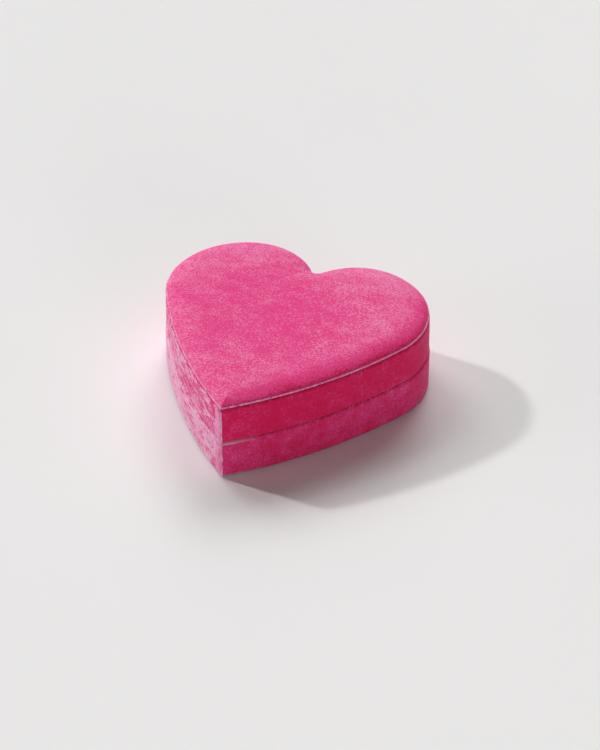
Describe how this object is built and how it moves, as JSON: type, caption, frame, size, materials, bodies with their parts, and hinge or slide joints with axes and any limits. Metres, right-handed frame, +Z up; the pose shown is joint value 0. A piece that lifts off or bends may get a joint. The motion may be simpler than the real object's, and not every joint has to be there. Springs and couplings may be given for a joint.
{
  "type": "heart-shaped trinket box",
  "caption": "Heart-shaped padded trinket box wrapped in velvet, with a lift-off lid over an inner collar.",
  "frame": {"origin": "middle of the heart's width and length, on the underside", "axes": "+X across the two lobes, +Y from the tip towards the notch, +Z up"},
  "size_m": [0.13, 0.1299, 0.0434],
  "materials": {
    "velvet": "matte",
    "satin": "satin",
    "board": "matte",
    "wadding": "matte",
    "tape": "matte",
    "felt": "matte"
  },
  "bodies": {
    "base": {"underside_sheet": "felt", "base_board": "board", "base_wall_velvet": "velvet", "base_wall_board": "board", "base_tip_tape": "tape", "collar_board": "board", "collar_tip_tape": "tape", "collar_satin": "satin", "floor_card": "board", "floor_wadding": "wadding", "floor_velvet": "velvet"},
    "lid": {"lid_wall_velvet": "velvet", "lid_wall_board": "board", "lining_card": "board", "lining_satin": "satin", "ceiling_card": "board", "ceiling_wadding": "wadding", "ceiling_satin": "satin", "top_card": "board", "top_wadding": "wadding", "top_velvet": "velvet"}
  },
  "joints": [
    {"name": "lid_lift", "type": "slide", "parent": "base", "child": "lid", "axis": [0, 0, 1], "range_m": [0, 0.08]}
  ]
}
